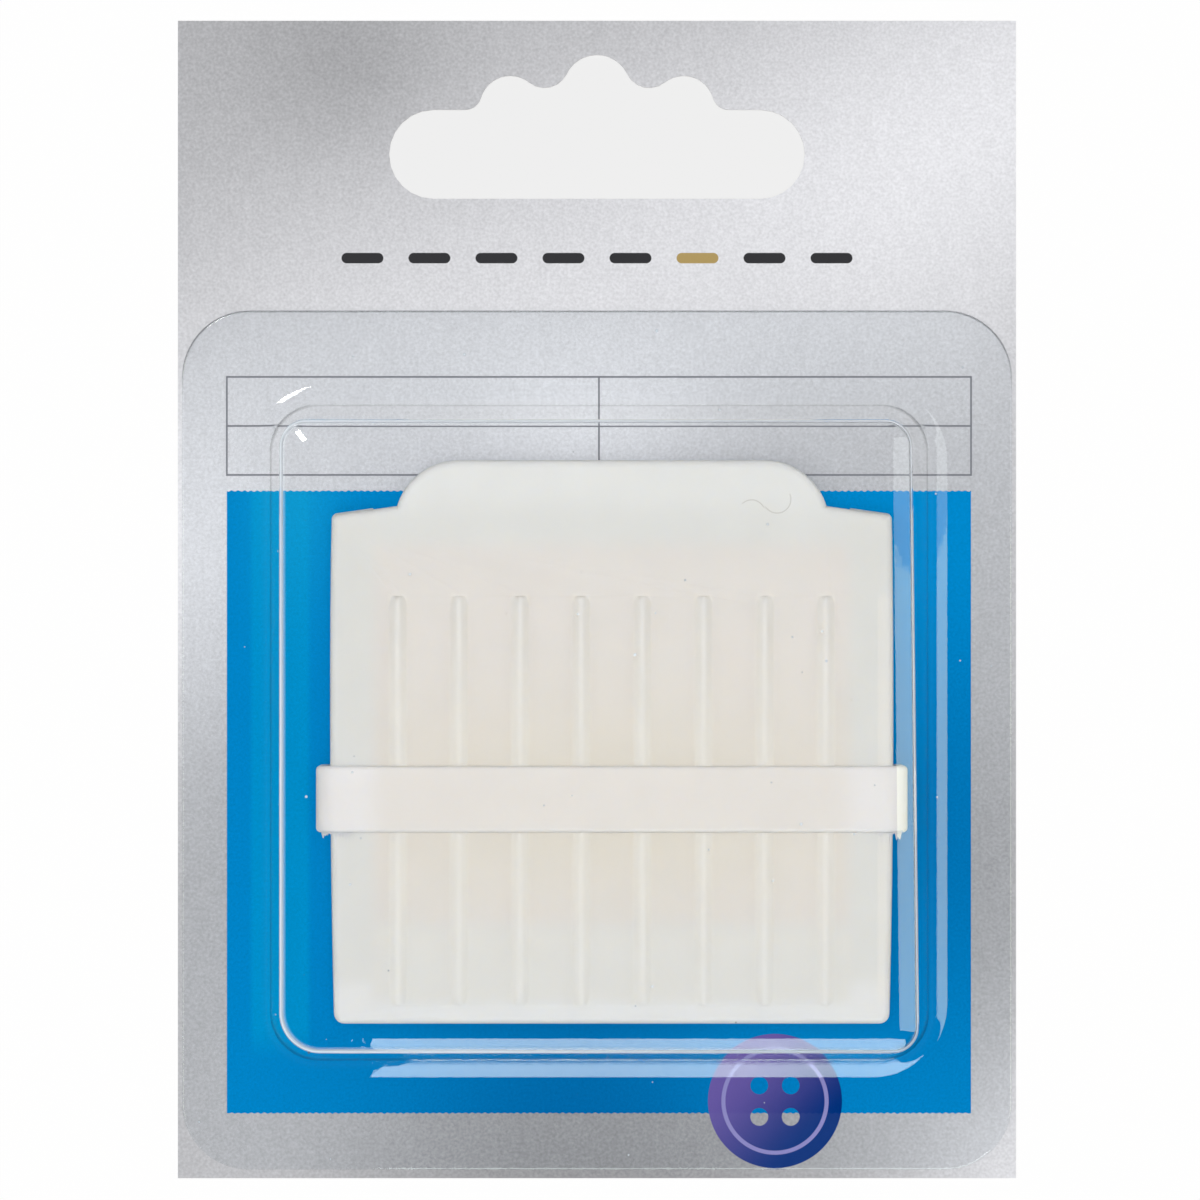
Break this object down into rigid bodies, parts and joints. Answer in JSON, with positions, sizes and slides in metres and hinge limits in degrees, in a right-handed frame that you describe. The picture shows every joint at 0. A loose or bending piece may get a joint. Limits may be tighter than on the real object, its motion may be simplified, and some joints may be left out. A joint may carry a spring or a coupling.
{
  "type": "tailors chalk in a clamp holder, blister packed",
  "caption": "Flat translucent clamp holder for a plate of tailors chalk, with a sliding ring, sealed in a clear blister on a hanging card with a euro slot.",
  "frame": {"origin": "middle of the card's back face, which the pack lies on", "axes": "+X to the right and +Y up towards the hang slot as the card is read, +Z out of the card through the blister"},
  "size_m": [0.08, 0.1106, 0.0139],
  "materials": {
    "card": "silver printed board with a blue panel, satin varnish",
    "clear_sheet": "clear vacuum-formed sheet, glossy",
    "holder_plastic": "milky natural polyethylene, satin",
    "ring_plastic": "milky natural polyethylene, satin",
    "chalk": "pressed chalk, matt"
  },
  "bodies": {
    "pack": {"backing_card": "card"},
    "blister": {"blister": "clear_sheet"},
    "holder": {"back_jaw": "holder_plastic"},
    "front_leaf": {"front_jaw": "holder_plastic"},
    "ring": {"clamp_ring": "ring_plastic"},
    "chalk": {"chalk_plate": "chalk"}
  },
  "joints": [
    {"name": "blister_peel", "type": "hinge", "parent": "pack", "child": "blister", "pos_m": [0, -0.05442, 0.00085], "axis": [1, 0, 0], "range_deg": [0, 120]},
    {"name": "holder_shift", "type": "slide", "parent": "pack", "child": "holder", "axis": [0, 1, 0], "range_m": [-0.002, 0.0002]},
    {"name": "ring_slide", "type": "slide", "parent": "holder", "child": "ring", "axis": [0, 1, 0], "range_m": [-0.0165, 0.0161]},
    {"name": "jaw_open", "type": "hinge", "parent": "holder", "child": "front_leaf", "pos_m": [0.0014, -0.03975, 0.006], "axis": [1, 0, 0], "range_deg": [-1.41, 1.45]},
    {"name": "chalk_slide", "type": "slide", "parent": "holder", "child": "chalk", "axis": [0, 1, 0], "range_m": [0, 0.0111]}
  ],
  "couplings": [
    {"joint": "jaw_open", "follows": "ring_slide", "rad_per_m": -1.513}
  ]
}
